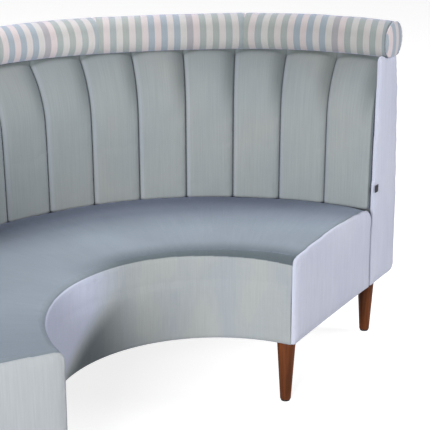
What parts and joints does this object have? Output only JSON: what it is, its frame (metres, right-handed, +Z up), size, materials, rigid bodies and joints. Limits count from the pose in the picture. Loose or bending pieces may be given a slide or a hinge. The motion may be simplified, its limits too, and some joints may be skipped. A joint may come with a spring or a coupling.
{
  "type": "upholstered banquette bench",
  "caption": "Half-round velvet banquette bench with a channel-tufted back, a striped bolster along its top and tapered wooden legs.",
  "frame": {"origin": "on the floor, at the middle of the bench's outline seen from above", "axes": "+X to the right seen from the open front, along the bench's width; +Y from the open front towards the closed back; +Z up"},
  "size_m": [2.1476, 1.006, 1.005],
  "materials": {
    "velvet": "short-pile velvet, pale blue-grey, with a soft sheen",
    "striped_fabric": "woven stripe, cream and blue-grey with pink and sage tints",
    "dust_cloth": "black non-woven cambric",
    "lining_cloth": "plain grey lining cloth",
    "tag_cloth": "black woven tape, blank",
    "foam": "cut upholstery foam",
    "zinc_steel": "zinc-plated",
    "glide_plastic": "moulded black plastic",
    "walnut": "walnut-stained, satin lacquer",
    "beech": "sawn",
    "plywood": "birch plywood, sanded"
  },
  "bodies": {
    "root": {"seat_front_bottom_rail": "plywood", "seat_back_bottom_rail": "plywood", "seat_end_boards": "plywood", "seat_ribs": "plywood", "seat_joint_rail": "plywood", "seat_front_skin": "plywood", "seat_back_skin": "plywood", "seat_deck": "plywood", "seat_foam": "foam", "seat_cover": "velvet", "seat_end_panel_left": "velvet", "seat_end_panel_right": "velvet", "seat_dust_cover": "dust_cloth", "back_bottom_rail": "plywood", "back_joint_rail": "plywood", "back_top_rail": "plywood", "back_end_boards": "plywood", "back_uprights": "plywood", "back_inner_skin": "plywood", "back_outer_skin": "plywood", "back_lining": "lining_cloth", "back_foam": "foam", "back_channels": "velvet", "outer_back_cover": "velvet", "back_end_panel_left": "velvet", "back_end_panel_right": "velvet", "back_dust_cover": "dust_cloth", "spacer_batten": "plywood", "unit_bolts": "zinc_steel", "unit_nuts": "zinc_steel", "bolster_board": "plywood", "bolster_foam": "foam", "bolster_cover": "striped_fabric", "bolster_end_left": "striped_fabric", "bolster_end_right": "striped_fabric", "bolster_bolts": "zinc_steel", "bolster_nuts": "zinc_steel", "front_leg_left": "walnut", "front_leg_right": "walnut", "back_leg_end_left": "walnut", "back_leg_mid_left": "walnut", "back_leg_centre": "walnut", "back_leg_mid_right": "walnut", "back_leg_end_right": "walnut", "leg_blocks": "beech", "leg_bolts": "zinc_steel", "leg_nuts": "zinc_steel", "leg_glides": "glide_plastic", "side_tag": "tag_cloth"}
  },
  "joints": []
}
